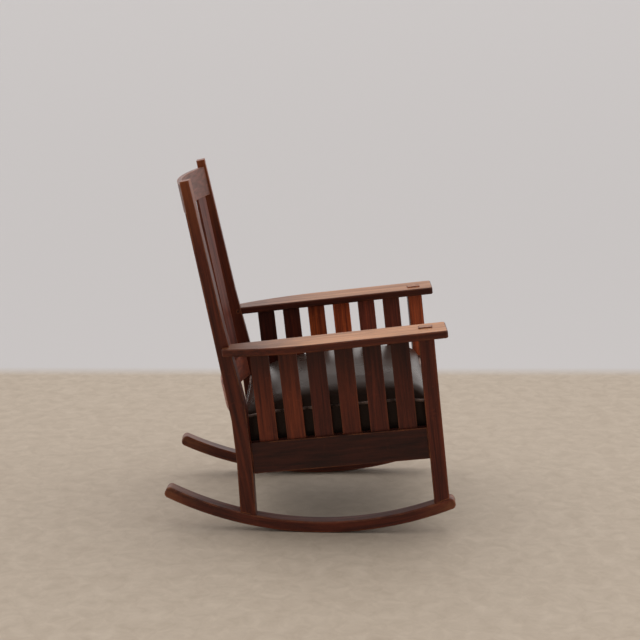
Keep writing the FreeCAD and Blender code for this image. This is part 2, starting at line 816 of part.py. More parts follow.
left_pieces = {
    "rocker": rocker,
    "front_post": front_post,
    "back_post": back_post,
    "arm": at_rest(arm.cut(arm_peg_hole)),
    "side_rail": at_rest(rail),
    "seat_cleat": at_rest(seat_cleat.cut(cleat_holes)),
    "front_corner_block": at_rest(front_block.cut(block_holes)),
    "rear_corner_block": at_rest(rear_block.cut(block_holes)),
}
for index in slat_range:
    left_pieces["side_slat_%d" % (index + 1)] = at_rest(slats[index])

fixings = {
    "cleat_screws": [at_rest(fixing) for fixing in cleat_fixings],
    "corner_block_screws": [at_rest(fixing(0.0)) for fixing in (front_fixing, rear_fixing)],
    "arm_pegs": [at_rest(in_side_frame(arm_peg()))],
    "rocker_pegs": [under_left_posts(peg) for peg in pegs],
}

pieces = {
    "front_rail": at_rest(front_rail),
    "rear_rail": at_rest(rear_rail),
    "crest_rail": at_rest(crest_rail),
    "lower_back_rail": at_rest(lower_back_rail),
    "seat_webbing": at_rest(seat_webbing()),
    "seat_springs": at_rest(seat_springs()),
    "seat_burlap": at_rest(seat_burlap()),
    "seat_stuffing": at_rest(seat_stuffing()),
    "seat_cover": at_rest(seat_cover()),
    "seat_dust_cover": at_rest(seat_dust_cover()),
}
for index, slat in enumerate(back_slats):
    pieces["back_slat_%d" % (index + 1)] = at_rest(slat)
for name, member in seat_frame().items():
    pieces[name] = at_rest(member)
for name, piece in left_pieces.items():
    pieces[name + "_left"] = piece
    pieces[name + "_right"] = mirrored(piece)
for name, group in fixings.items():
    pieces[name] = Part.makeCompound(group + [mirrored(piece) for piece in group])

# The origin is on the floor, midway between the tips of the rockers
tips = rocker.BoundBox
middle = point(0, -(tips.YMin + tips.YMax) / 2, 0)

os.makedirs("parts", exist_ok=True)
for name, piece in pieces.items():
    piece.translate(middle)
    piece.exportStep("parts/%s.step" % name)
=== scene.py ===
import math

import bpy
import numpy as np
from mathutils import Matrix, Vector


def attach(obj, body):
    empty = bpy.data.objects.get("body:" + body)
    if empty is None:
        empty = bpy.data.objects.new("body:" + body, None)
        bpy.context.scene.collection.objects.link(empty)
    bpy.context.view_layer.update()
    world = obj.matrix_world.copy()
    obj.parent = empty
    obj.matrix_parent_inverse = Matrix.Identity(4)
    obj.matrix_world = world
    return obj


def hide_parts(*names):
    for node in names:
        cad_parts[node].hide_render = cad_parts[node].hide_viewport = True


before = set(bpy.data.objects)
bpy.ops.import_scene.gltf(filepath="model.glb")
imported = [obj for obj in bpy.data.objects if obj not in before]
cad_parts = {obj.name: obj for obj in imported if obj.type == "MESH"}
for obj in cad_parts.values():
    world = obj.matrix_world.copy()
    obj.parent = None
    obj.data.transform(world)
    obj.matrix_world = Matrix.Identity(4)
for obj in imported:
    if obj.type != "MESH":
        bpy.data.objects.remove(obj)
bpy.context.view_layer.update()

# Rockers: two bars of stained oak bent to one arc, the chair's only touch with the floor.
# The finish is rubbed back to redder wood along their edges and at their rounded ends.
# The grain follows the bend round the arc's centre (y, z), and upright is the way up the leaning chair.
rocker_centre = (-0.0192, 0.975)
upright = (0.0, 0.108867, 0.994056)


def add(tree, kind, settings=None, **sockets):
    """A shader node with its settings, and its inputs joined to sockets or given plain values."""
    made = tree.nodes.new(kind)
    for key, value in (settings or {}).items():
        setattr(made, key, value)
    for key, value in sockets.items():
        slot = made.inputs[int(key[1:])] if key[0] == "_" else made.inputs[key.replace("_", " ")]
        if isinstance(value, bpy.types.NodeSocket):
            tree.links.new(value, slot)
        else:
            slot.default_value = value
    return made


def sums(tree, operation, *values):
    """One arithmetic step."""
    return add(tree, "ShaderNodeMath", {"operation": operation},
               **{"_%d" % index: value for index, value in enumerate(values)}).outputs[0]


def mixed(tree, share, first, second, blend="MIX"):
    """Two colours mixed by a share."""
    return add(tree, "ShaderNodeMix", {"data_type": "RGBA", "blend_type": blend},
               _0=share, _6=first, _7=second).outputs[2]


def ranged(tree, value, low, high, first=0.0, last=1.0):
    """A value spread from one range to another, held at both ends."""
    return add(tree, "ShaderNodeMapRange", {}, Value=value, From_Min=low, From_Max=high, To_Min=first,
               To_Max=last).outputs[0]


def noise(tree, place, size, detail=3.0, rough=0.5, twist=0.0):
    """Cloudy noise whose features have the given size along each axis, in metres."""
    spread = add(tree, "ShaderNodeVectorMath", {"operation": "DIVIDE"}, _0=place, _1=size).outputs[0]
    return add(tree, "ShaderNodeTexNoise", {}, Vector=spread, Scale=1.0, Detail=detail, Roughness=rough,
               Distortion=twist).outputs[0]


def along_board(tree, grain, seed):
    """Coordinates of a straight board: X along its grain, moved by a seed so that no two boards match."""
    turn = Vector((1, 0, 0)).rotation_difference(Vector(grain)).to_euler()
    place = add(tree, "ShaderNodeTexCoord").outputs["Object"]
    return add(tree, "ShaderNodeMapping", {"vector_type": "TEXTURE"}, Vector=place, Rotation=turn,
               Location=(seed * 0.71, seed * 0.37, seed * 0.53)).outputs[0]


def along_bend(tree, seed):
    """Coordinates of a bent bar: X is the length round the arc, Y the way out from its centre, Z across."""
    place = add(tree, "ShaderNodeTexCoord").outputs["Object"]
    split = add(tree, "ShaderNodeSeparateXYZ", {}, Vector=place)
    back = sums(tree, "SUBTRACT", split.outputs[1], rocker_centre[0])
    down = sums(tree, "SUBTRACT", rocker_centre[1], split.outputs[2])
    turn = sums(tree, "ARCTAN2", back, down)
    square = sums(tree, "ADD", sums(tree, "MULTIPLY", back, back), sums(tree, "MULTIPLY", down, down))
    length = sums(tree, "MULTIPLY_ADD", turn, rocker_centre[1], seed)
    return add(tree, "ShaderNodeCombineXYZ", {}, X=length, Y=sums(tree, "SQRT", square),
               Z=split.outputs[0]).outputs[0]


def stained_oak(name, grain=None, tone=1.0, warmth=0.0, wear=0.5, seed=0.0, top_wear=0.0, faded=None,
                dust_and_sheen=0.0, lit_side=1.0, tips=False, arm_shade=None):
    """Stained oak: streaks and pores drawn out along the grain, dark blotches, edges rubbed to redder wood.
    Tone scales the stain, warmth leads it to orange, and top wear rubs the upward faces to pale wood, less
    towards the back. Faded gives the heights between which the stain goes to orange. Dust and sheen greys
    it, partly dust and partly a painted sheen. Lit side brightens the faces towards the chair's right,
    painted light, and tips rubs the front and rear ends. Arm shade gives the heights up the leaning chair
    between which the colour darkens, a painted shadow of the arm."""
    material = bpy.data.materials.new(name)
    material.use_nodes = True
    tree = material.node_tree
    shader = tree.nodes["Principled BSDF"]
    board = along_board(tree, grain, seed) if grain else along_bend(tree, seed)
    streaks = noise(tree, board, (0.30, 0.011, 0.011), 4.0, 0.6, 0.4)
    pores = noise(tree, board, (0.035, 0.0011, 0.0011), 2.0, 0.6)
    flecks = noise(tree, board, (0.012, 0.030, 0.030), 3.0, 0.6, 1.2)
    blotches = noise(tree, board, (0.22, 0.07, 0.07), 3.0, 0.55)
    threads = noise(tree, board, (0.14, 0.0042, 0.0042), 3.0, 0.6, 0.3)
    stain = lambda colour: [tone * channel for channel in colour] + [1.0]
    lead = lambda cool, warm: stain([a + (b - a) * warmth for a, b in zip(cool, warm)])
    ramp = add(tree, "ShaderNodeValToRGB", {}, Fac=streaks)
    ramp.color_ramp.elements[0].position = 0.33
    ramp.color_ramp.elements[0].color = lead((0.040, 0.0066, 0.0038), (0.068, 0.0120, 0.0038))
    ramp.color_ramp.elements[1].position = 0.68
    ramp.color_ramp.elements[1].color = lead((0.135, 0.0235, 0.0110), (0.225, 0.0450, 0.0105))
    colour = mixed(tree, ranged(tree, blotches, 0.50, 0.72, 0.0, 0.55), ramp.outputs[0],
                   lead((0.032, 0.0062, 0.0040), (0.070, 0.0128, 0.0040)))
    colour = mixed(tree, ranged(tree, flecks, 0.60, 0.72, 0.0, 0.35), colour,
                   lead((0.168, 0.034, 0.016), (0.262, 0.060, 0.015)))
    colour = mixed(tree, ranged(tree, pores, 0.56, 0.68, 0.0, 0.55), colour, stain((0.018, 0.006, 0.004)))
    colour = mixed(tree, ranged(tree, threads, 0.52, 0.66, 0.0, 0.5), colour,
                   lead((0.026, 0.0052, 0.0036), (0.050, 0.0095, 0.0036)))
    # Greying: partly dust, partly a painted sheen.
    if dust_and_sheen:
        colour = mixed(tree, dust_and_sheen, colour, (0.30, 0.19, 0.155, 1.0))
    place = add(tree, "ShaderNodeSeparateXYZ", {}, Vector=add(tree, "ShaderNodeTexCoord").outputs["Object"])
    if faded:
        share = sums(tree, "MULTIPLY", ranged(tree, place.outputs[2], *faded),
                     ranged(tree, streaks, 0.3, 0.6, 0.35, 0.75))
        colour = mixed(tree, share, colour, (0.30, 0.078, 0.022, 1.0))
    soft = add(tree, "ShaderNodeBevel", {"samples": 6}, Radius=0.0016).outputs[0]
    wide = add(tree, "ShaderNodeBevel", {"samples": 6}, Radius=0.0060).outputs[0]
    facing = add(tree, "ShaderNodeNewGeometry").outputs["Normal"]
    bend = add(tree, "ShaderNodeVectorMath", {"operation": "DOT_PRODUCT"}, _0=wide, _1=facing).outputs[1]
    edge = ranged(tree, bend, 0.995, 0.86)
    patchy = noise(tree, board, (0.05, 0.02, 0.02), 4.0, 0.65)
    rubbed = sums(tree, "MULTIPLY", edge, ranged(tree, patchy, 0.36, 0.62, 0.0, wear))
    colour = mixed(tree, rubbed, colour, (0.40, 0.128, 0.044, 1.0))
    # Painted shadow: the colour darkens between the given heights, standing in for the arm's shade on the
    # slats below it.
    if arm_shade:
        lifted = add(tree, "ShaderNodeVectorMath", {"operation": "DOT_PRODUCT"}, _1=upright,
                     _0=add(tree, "ShaderNodeTexCoord").outputs["Object"]).outputs[1]
        uneven = sums(tree, "MULTIPLY_ADD", sums(tree, "SUBTRACT", patchy, 0.5), 0.10, lifted)
        colour = mixed(tree, ranged(tree, uneven, *arm_shade, 0.0, 0.75), colour, stain((0.020, 0.0055, 0.0040)))
    # Painted light: faces turned towards the chair's right are brightened.
    if lit_side > 1:
        leftward = add(tree, "ShaderNodeSeparateXYZ", {}, Vector=facing).outputs[0]
        rightward = sums(tree, "MULTIPLY", leftward, -1.0)
        colour = mixed(tree, ranged(tree, rightward, 0.7, 0.95), colour,
                       mixed(tree, 1.0, colour, (lit_side, lit_side, lit_side, 1.0), "MULTIPLY"))
    if tips:
        end = ranged(tree, sums(tree, "ABSOLUTE", place.outputs[1]), 0.30, 0.41)
        worn = sums(tree, "MULTIPLY", end, ranged(tree, patchy, 0.36, 0.62, 0.1, 0.6))
        colour = mixed(tree, worn, colour, (0.34, 0.125, 0.052, 1.0))
    if top_wear:
        upward = add(tree, "ShaderNodeSeparateXYZ", {}, Vector=facing).outputs[2]
        uneven = sums(tree, "MULTIPLY_ADD", sums(tree, "SUBTRACT", patchy, 0.5), 0.25, place.outputs[1])
        reach = sums(tree, "MULTIPLY", ranged(tree, upward, 0.80, 0.97),
                     ranged(tree, uneven, -0.02, 0.15, 1.0, 0.25))
        bare = sums(tree, "MULTIPLY", reach, ranged(tree, blotches, 0.25, 0.6, top_wear, 0.7 * top_wear))
        pale = mixed(tree, ranged(tree, streaks, 0.35, 0.7), (0.44, 0.175, 0.062, 1.0),
                     (0.70, 0.310, 0.118, 1.0))
        pale = mixed(tree, ranged(tree, pores, 0.58, 0.70, 0.0, 0.5), pale, (0.10, 0.05, 0.03, 1.0))
        colour = mixed(tree, bare, colour, pale)
    tree.links.new(colour, shader.inputs["Base Color"])
    tree.links.new(ranged(tree, streaks, 0.3, 0.7, 0.50, 0.38), shader.inputs["Roughness"])
    height = sums(tree, "MULTIPLY_ADD", pores, -0.5, streaks)
    bump = add(tree, "ShaderNodeBump", {}, Strength=0.22, Distance=0.0007, Height=height,
               Normal=soft).outputs[0]
    tree.links.new(bump, shader.inputs["Normal"])
    shader.inputs["Specular IOR Level"].default_value = 0.30
    shader.inputs["Specular Tint"].default_value = (1.0, 0.95, 0.95, 1.0)
    return material


def finish(node, material):
    """Give a CAD piece its finish."""
    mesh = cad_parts[node].data
    mesh.materials.clear()
    mesh.materials.append(material)


# Both rockers are greyed a little, the left one more: partly dust, partly a painted sheen.
for number, side in enumerate(("right", "left")):
    finish("rocker_" + side, stained_oak("oak_rocker_" + side, None, 1.1, 0.1, 1.0, 3.1 + number,
                                         dust_and_sheen=0.02 + 0.03 * number, tips=True))

# Posts: square oak. The front posts stand straight and end in a tenon through the arm.
# The back posts are bent back above the seat, so their grain leans back with them.
# Handling has rubbed their edges and tops.
leaning = (0.0, 0.195, 0.981)
finish("front_post_right", stained_oak("oak_front_post_right", upright, 1.15, 0.10, 1.0, 5.2, 0.6))
# The left front post's faces towards the chair's right are brightened: painted light.
finish("front_post_left", stained_oak("oak_front_post_left", upright, 1.1, 0.65, 0.6, 6.4, 0.6, lit_side=2.9))
finish("back_post_right", stained_oak("oak_back_post_right", leaning, 0.92, 0.22, 1.0, 7.3,
                                      faded=(0.80, 0.98)))
finish("back_post_left", stained_oak("oak_back_post_left", leaning, 0.95, 0.25, 0.8, 8.9,
                                     faded=(0.76, 0.98)))

# Seat rails: wide oak boards tenoned into the posts, the darkest pieces of the chair.
# The side rails run back, and the front and rear rails run across.
backward = (0.0, 0.994056, -0.108867)
across = (1.0, 0.0, 0.0)
# The right side rail is greyed a touch: partly dust, partly a painted sheen.
finish("side_rail_right", stained_oak("oak_side_rail_right", backward, 0.46, 0.0, 0.6, 9.7, dust_and_sheen=0.01))
finish("side_rail_left", stained_oak("oak_side_rail_left", backward, 0.8, 0.1, 0.5, 10.3))
finish("front_rail", stained_oak("oak_front_rail", across, 0.85, 0.15, 0.6, 11.9))
finish("rear_rail", stained_oak("oak_rear_rail", across, 0.8, 0.1, 0.5, 12.2))

# Side slats: thin oak boards housed in the rail below and in the arm above.
# Each takes the stain to its own tone and warmth, given here from the front slat to the rear one.
# Those on the right are darkened towards the top, a painted shadow of the arm. Those on the left are
# brightened on their faces towards the seat, painted light, and the front two are greyed a little, partly
# dust and partly a painted sheen.
slat_tones = {
    "right": ((0.92, 0.08), (1.10, 0.10), (1.08, 0.22), (0.95, 0.0), (1.48, 0.50), (1.42, 0.35)),
    "left": ((0.95, 0.0), (1.1, 0.1), (1.55, 0.7), (1.4, 0.9), (0.95, 0.1), (0.65, 0.0)),
}
slat_lit_side = {"right": (1.0,) * 6, "left": (2.0, 2.9, 3.0, 2.2, 1.1, 1.0)}
slat_dust_and_sheen = {"right": (0.0,) * 6, "left": (0.03, 0.03, 0.0, 0.0, 0.0, 0.0)}
slat_arm_shade = {"right": (0.38, 0.54), "left": None}
slat_seed = {"right": 20.0, "left": 29.1}
for side, tones in slat_tones.items():
    for number, (tone, warmth) in enumerate(tones, 1):
        name = "side_slat_%d_%s" % (number, side)
        finish(name, stained_oak("oak_" + name, upright, tone, warmth, 0.4, slat_seed[side] + 1.37 * number,
                                 dust_and_sheen=slat_dust_and_sheen[side][number - 1], lit_side=slat_lit_side[side][number - 1],
                                 arm_shade=slat_arm_shade[side]))

# Arms: flat oak boards on the front posts and slats, notched round the back posts.
# Their tops are worn to pale wood by hands and sun.
finish("arm_right", stained_oak("oak_arm_right", backward, 0.85, 0.25, 0.6, 41.3, 1.0))
finish("arm_left", stained_oak("oak_arm_left", backward, 0.85, 0.25, 0.6, 43.8, 0.8))

# Back: a crest rail and a lower rail bowed to one curve, with flat slats housed between them.
# Oak as the rest, greyed a little: partly dust, partly a painted sheen.
finish("crest_rail", stained_oak("oak_crest_rail", across, 1.6, 0.2, 0.8, 51.2, dust_and_sheen=0.28))
finish("lower_back_rail", stained_oak("oak_lower_back_rail", across, 2.8, 0.3, 0.7, 52.6, dust_and_sheen=0.18))
for number, tone in enumerate((1.15, 1.05, 1.2, 1.1, 1.2), 1):
    name = "back_slat_%d" % number
    finish(name, stained_oak("oak_" + name, leaning, 1.15 * tone, 0.2, 0.5, 60.0 + 1.9 * number))

# Pegs: square oak pins driven through the rocker tenons and into the ends of the arms.
# Only their inner ends show, as small darker squares of end grain.
finish("rocker_pegs", stained_oak("oak_rocker_pegs", across, 0.7, 0.1, 0.2, 71.0))
finish("arm_pegs", stained_oak("oak_arm_pegs", across, 0.7, 0.1, 0.2, 72.0))

# Cleats, corner blocks and seat frame: plain unstained hardwood, sawn and screwed in place.
# None of them shows until the seat is lifted or the chair is turned over.
def bare_wood(name, grain, seed):
    """Unstained hardwood gone brown with age: soft streaks, saw marks and a dull surface."""
    material = bpy.data.materials.new(name)
    material.use_nodes = True
    tree = material.node_tree
    shader = tree.nodes["Principled BSDF"]
    board = along_board(tree, grain, seed)
    streaks = noise(tree, board, (0.25, 0.012, 0.012), 4.0, 0.6, 0.3)
    pores = noise(tree, board, (0.03, 0.0012, 0.0012), 2.0, 0.6)
    saw = noise(tree, board, (0.004, 0.12, 0.12), 2.0, 0.5)
    ramp = add(tree, "ShaderNodeValToRGB", {}, Fac=streaks)
    ramp.color_ramp.elements[0].position = 0.3
    ramp.color_ramp.elements[0].color = (0.20, 0.115, 0.055, 1.0)
    ramp.color_ramp.elements[1].position = 0.7
    ramp.color_ramp.elements[1].color = (0.38, 0.245, 0.13, 1.0)
    colour = mixed(tree, ranged(tree, pores, 0.58, 0.7, 0.0, 0.5), ramp.outputs[0], (0.11, 0.06, 0.03, 1.0))
    tree.links.new(colour, shader.inputs["Base Color"])
    tree.links.new(ranged(tree, streaks, 0.3, 0.7, 0.72, 0.6), shader.inputs["Roughness"])
    soft = add(tree, "ShaderNodeBevel", {"samples": 4}, Radius=0.001).outputs[0]
    bump = add(tree, "ShaderNodeBump", {}, Strength=0.3, Distance=0.0006, Height=saw, Normal=soft).outputs[0]
    tree.links.new(bump, shader.inputs["Normal"])
    return material


inner_pieces = {"seat_cleat_": backward, "front_corner_block_": across, "rear_corner_block_": across,
                "seat_frame_": backward}
for number, (stem, grain) in enumerate(inner_pieces.items()):
    for other, side in enumerate(("right", "left")):
        finish(stem + side, bare_wood("bare_" + stem + side, grain, 80.0 + 2.3 * number + other))
for number, end in enumerate(("front", "rear")):
    finish("seat_frame_" + end, bare_wood("bare_seat_frame_" + end, across, 91.0 + number))


# Screws and springs: steel wire and steel wood screws, dulled brown with age.
# The screws hold the cleats and corner blocks, and the springs are tied on the webbing inside the seat.
def dulled_steel(name, bright, rust):
    """Dull steel: a cloudy grey, with brown patches where the noise is high."""
    material = bpy.data.materials.new(name)
    material.use_nodes = True
    tree = material.node_tree
    shader = tree.nodes["Principled BSDF"]
    place = add(tree, "ShaderNodeTexCoord").outputs["Object"]
    cloud = noise(tree, place, (0.006, 0.006, 0.006), 4.0, 0.6)
    colour = mixed(tree, ranged(tree, cloud, 0.45, 0.75, 0.0, rust), (bright, bright, 0.97 * bright, 1.0),
                   (0.16, 0.075, 0.035, 1.0))
    tree.links.new(colour, shader.inputs["Base Color"])
    tree.links.new(ranged(tree, cloud, 0.3, 0.7, 0.34, 0.6), shader.inputs["Roughness"])
    shader.inputs["Metallic"].default_value = 1.0
    return material


for node in ("cleat_screws", "corner_block_screws"):
    finish(node, dulled_steel("steel_" + node, 0.42, 0.6))
finish("seat_springs", dulled_steel("steel_seat_springs", 0.34, 0.3))


# Webbing, burlap and cambric: jute straps, coarse jute cloth and thin black cotton.
# They carry the springs and close the underside of the lift-out seat.
def woven(name, yarn, thread, shade, axis):
    """Plain weave: two sets of ridges, along X and along the seat's depth, that take turns on top."""
    material = bpy.data.materials.new(name)
    material.use_nodes = True
    tree = material.node_tree
    shader = tree.nodes["Principled BSDF"]
    board = along_board(tree, axis, 0.0)
    split = add(tree, "ShaderNodeSeparateXYZ", {}, Vector=board)
    ridge = lambda socket: sums(tree, "SINE", sums(tree, "MULTIPLY", socket, 2 * math.pi / yarn))
    crossing = sums(tree, "MULTIPLY", ridge(split.outputs[0]), ridge(split.outputs[1]))
    slub = noise(tree, board, (0.02, 0.003, 0.003), 3.0, 0.6)
    share = sums(tree, "MULTIPLY_ADD", crossing, 0.3, slub)
    colour = mixed(tree, ranged(tree, share, 0.2, 0.9), shade + (1.0,), thread + (1.0,))
    tree.links.new(colour, shader.inputs["Base Color"])
    bump = add(tree, "ShaderNodeBump", {}, Strength=0.5, Distance=0.0005, Height=share).outputs[0]
    tree.links.new(bump, shader.inputs["Normal"])
    shader.inputs["Roughness"].default_value = 0.9
    return material


finish("seat_webbing", woven("jute_webbing", 0.003, (0.42, 0.31, 0.17), (0.20, 0.14, 0.07), backward))
finish("seat_burlap", woven("jute_burlap", 0.0022, (0.40, 0.29, 0.16), (0.18, 0.12, 0.06), backward))

# Seat cushion: black leather sewn over hair and cotton, on the springs and frame of the lift-out seat.
# The top swells to a crown from a corded seam that dips at the corners, and the band below is drawn in.
# The leather turns under the frame all round.
seat_tilt = math.radians(6.25)
seat_shift = -0.379208
rail_top = 0.313
seat_front = 0.0075
seat_back = 0.5245
seat_bottom = 0.2886
seam_level = 0.0765
corner_dip = 0.0105
corner_reach = 0.11
side_shoulder = 0.040
front_shoulder = 0.055
rear_shoulder = 0.240
shoulder_rise = 0.040
dome_rise = 0.029
highest_crown = 0.160
leather_voxel = 0.006
cloth_frames = 20
seam_grip = 0.010
band_grip = 0.012
band_fade = 0.008
even_rounds = 160
most_swell = 0.006


def in_chair(across, depth, height):
    """From the square chair (across, back from the front posts, up) to the chair leaning at rest."""
    y = depth * math.cos(seat_tilt) + height * math.sin(seat_tilt) + seat_shift
    z = height * math.cos(seat_tilt) - depth * math.sin(seat_tilt)
    return np.stack(np.broadcast_arrays(across, y, z), -1)


def seat_half(depth):
    """Half the width of the seat, which narrows to the back with the splayed sides."""
    return 0.26347 - 0.052408 * depth


def seat_ring(count, inset, brow, draw, corner):
    """Plan of the seat as points round it: a round-cornered trapezoid, drawn in along its sides.
    Points are spread evenly along the outline, each straight pulled in by a parabola between its ends."""
    front, back = seat_front - brow + inset, seat_back + brow - inset
    knots = np.array([(-seat_half(front) + inset, front), (seat_half(front) - inset, front),
                      (seat_half(back) - inset, back), (-seat_half(back) + inset, back)])
    after = np.roll(knots, -1, 0) - knots
    length = np.linalg.norm(after, axis=1, keepdims=True)
    after = after / length
    before = -np.roll(after, 1, 0)
    half = np.arccos((before * after).sum(1, keepdims=True)) / 2
    halfway = before + after
    hub = knots + halfway / np.linalg.norm(halfway, axis=1, keepdims=True) * corner / np.cos(half)
    share = np.linspace(0, 1, 24)[None, :, None]
    first, last = knots + before * corner - hub, knots + after * corner - hub
    turn = (math.pi - 2 * half)[:, None]
    swung = first[:, None] * np.sin((1 - share) * turn) + last[:, None] * np.sin(share * turn)
    arc = hub[:, None] + swung / np.sin(turn)
    run = np.linspace(0, 1, 122)[None, 1:-1, None]
    inward = np.stack([-after[:, 1], after[:, 0]], 1)[:, None]
    straight = (knots[:, None] + after[:, None] * (corner + run * (length[:, None] - 2 * corner))
                + inward * 4 * draw * run * (1 - run))
    path = np.concatenate([arc, straight], 1).reshape(-1, 2)
    step = np.linalg.norm(np.roll(path, -1, 0) - path, axis=1)
    place = np.concatenate([[0], np.cumsum(step)])
    wanted = np.linspace(0, place[-1], count, endpoint=False)
    closed = np.concatenate([path, path[:1]])
    return np.stack([np.interp(wanted, place, closed[:, axis]) for axis in (0, 1)], 1)


def seam_height(ring):
    """Height of the corded seam above the rails: level along the sides, dipping within reach of a corner."""
    x, depth = ring.T
    side = np.minimum(np.abs(depth - seat_front), np.abs(depth - seat_back))
    end = np.abs(seat_half(depth) - np.abs(x))
    near = np.clip(1 - np.hypot(side, end) / corner_reach, 0, 1)
    return seam_level - corner_dip * near ** 2


def crown_rise(plan):
    """Rise of the cushion's top over its seam: a round shoulder along every edge, and a dome between them.
    A shoulder is a quarter of an ellipse over the way in from the edge, and the dome a product of two
    parabolas."""
    x, depth = plan.T
    shoulder = lambda inset, width: np.sqrt(1 - (1 - np.clip(inset / width, 0, 1)) ** 2)
    sides = shoulder(seat_half(depth) - np.abs(x), side_shoulder)
    ends = (shoulder(depth - seat_front + 0.001, front_shoulder)
            * shoulder(seat_back + 0.001 - depth, rear_shoulder))
    along = (2 * depth - seat_front - seat_back) / (seat_back - seat_front)
    dome = np.clip(1 - (x / seat_half(depth)) ** 2, 0, 1) * np.clip(1 - along ** 2, 0, 1)
    return shoulder_rise * sides * ends + dome_rise * dome


def closed_grid(name, rings):
    """A closed mesh from an array of rings of points: quads between rings, and a fan at both ends."""
    count, around = rings.shape[:2]
    index = np.arange(count * around).reshape(count, around)
    low, high = index[:-1], index[1:]
    quads = np.stack([low, np.roll(low, -1, 1), np.roll(high, -1, 1), high], -1).reshape(-1, 4)
    points = np.concatenate([rings.reshape(-1, 3), rings[:1].mean(1), rings[-1:].mean(1)])
    ends = [(index[0], count * around, -1), (index[-1], count * around + 1, 1)]
    fans = [np.stack([ring, np.roll(ring, -way), np.full(around, hub)], -1) for ring, hub, way in ends]
    mesh = bpy.data.meshes.new(name)
    mesh.from_pydata(points.tolist(), [], quads.tolist() + np.concatenate(fans).tolist())
    mesh.update()
    piece = bpy.data.objects.new(name, mesh)
    bpy.context.scene.collection.objects.link(piece)
    return piece


around = 480
outline = seat_ring(around, 0.0, 0.0, 0.0, 0.014)
brow_line = seat_ring(around, 0.001, 0.002, 0.005, 0.026)
seam = seam_height(brow_line)
middle = np.array([0.0, (seat_front + seat_back) / 2])
rings = [in_chair(*(middle + (outline - middle) * 0.93).T, seat_bottom),
         in_chair(*outline.T, seat_bottom + 0.002), in_chair(*outline.T, rail_top)]
for share in (0.25, 0.5, 0.75, 1.0):
    plan = outline + (brow_line - outline) * share
    rings.append(in_chair(*plan.T, rail_top + share * (seam - 0.002)))
for share in np.linspace(0.03, 0.995, 56) ** 1.7:
    plan = middle + (brow_line - middle) * (1 - share)
    edge = seam + (seam_level - seam) * (1 - (1 - share) ** 8)
    rings.append(in_chair(*plan.T, rail_top + edge + crown_rise(plan)))
cushion = closed_grid("seat_cushion", np.array(rings))

remesh = cushion.modifiers.new("even_leather", "REMESH")
remesh.mode = "VOXEL"
remesh.voxel_size = leather_voxel
bpy.context.view_layer.objects.active = cushion
cushion.select_set(True)
bpy.ops.object.modifier_apply(modifier=remesh.name)
soften = cushion.modifiers.new("soft_edges", "SMOOTH")
soften.iterations = 8
bpy.ops.object.modifier_apply(modifier=soften.name)


def points_of(piece):
    """The piece's points as one array."""
    found = np.empty(len(piece.data.vertices) * 3)
    piece.data.vertices.foreach_get("co", found)
    return found.reshape(-1, 3)


def in_seat(points):
    """From the chair at rest back to the square chair: across, depth and height."""
    y, z = points[:, 1] - seat_shift, points[:, 2]
    return np.stack([points[:, 0], y * math.cos(seat_tilt) - z * math.sin(seat_tilt),
                     y * math.sin(seat_tilt) + z * math.cos(seat_tilt)], 1)


start = points_of(cushion)
square = in_seat(start)
seam_line = np.column_stack([brow_line, rail_top + seam])
gap = np.min([np.linalg.norm(square - stitch, axis=1) for stitch in seam_line[::4]], 0)
low = (rail_top + band_grip - square[:, 2]) / band_fade
held = np.clip(np.maximum(1.4 - gap / seam_grip, low), 0, 1)
group = cushion.vertex_groups.new(name="held")
for level in np.linspace(0.1, 1.0, 10):
    members = np.flatnonzero((held > level - 0.1) & (held <= level))
    group.add(members.tolist(), float(level), "REPLACE")
cloth = cushion.modifiers.new("stuffed", "CLOTH")
cloth.settings.use_pressure = True
cloth.settings.uniform_pressure_force = 4.0
cloth.settings.vertex_group_mass = "held"
cloth.settings.mass = 0.06
cloth.settings.bending_stiffness = 4.0
cloth.settings.effector_weights.gravity = 0.0
for step in range(1, cloth_frames + 1):
    bpy.context.scene.frame_set(step)
bpy.ops.object.modifier_apply(modifier=cloth.name)
bpy.context.scene.frame_set(1)
moved = points_of(cushion) - start
count = len(start)
links = np.empty(2 * len(cushion.data.edges), int)
cushion.data.edges.foreach_get("vertices", links)
one, other = links.reshape(-1, 2).T
shared = np.bincount(links, minlength=count)[:, None]
for turn in range(even_rounds):
    pulled = [np.bincount(one, moved[other, axis], count) + np.bincount(other, moved[one, axis], count)
              for axis in range(3)]
    moved = (moved + np.stack(pulled, 1) / shared) / 2
moved *= 1 - held[:, None]
reach = np.linalg.norm(moved, axis=1, keepdims=True)
moved *= np.minimum(1, most_swell / np.maximum(reach, 1e-9))
square = in_seat(start + moved)
limit = seat_half(square[:, 1]) - 0.0005
square[:, 0] = np.clip(square[:, 0], -limit, limit)
square[:, 1] = np.clip(square[:, 1], seat_front - 0.010, seat_back + 0.010)
square[:, 2] = np.clip(square[:, 2], seat_bottom, rail_top + highest_crown)
cushion.data.vertices.foreach_set("co", in_chair(*square.T).ravel())
cushion.data.update()

smooth = cushion.modifiers.new("finer", "SUBSURF")
smooth.levels = smooth.render_levels = 1
cushion.data.polygons.foreach_set("use_smooth", np.ones(len(cushion.data.polygons), bool))


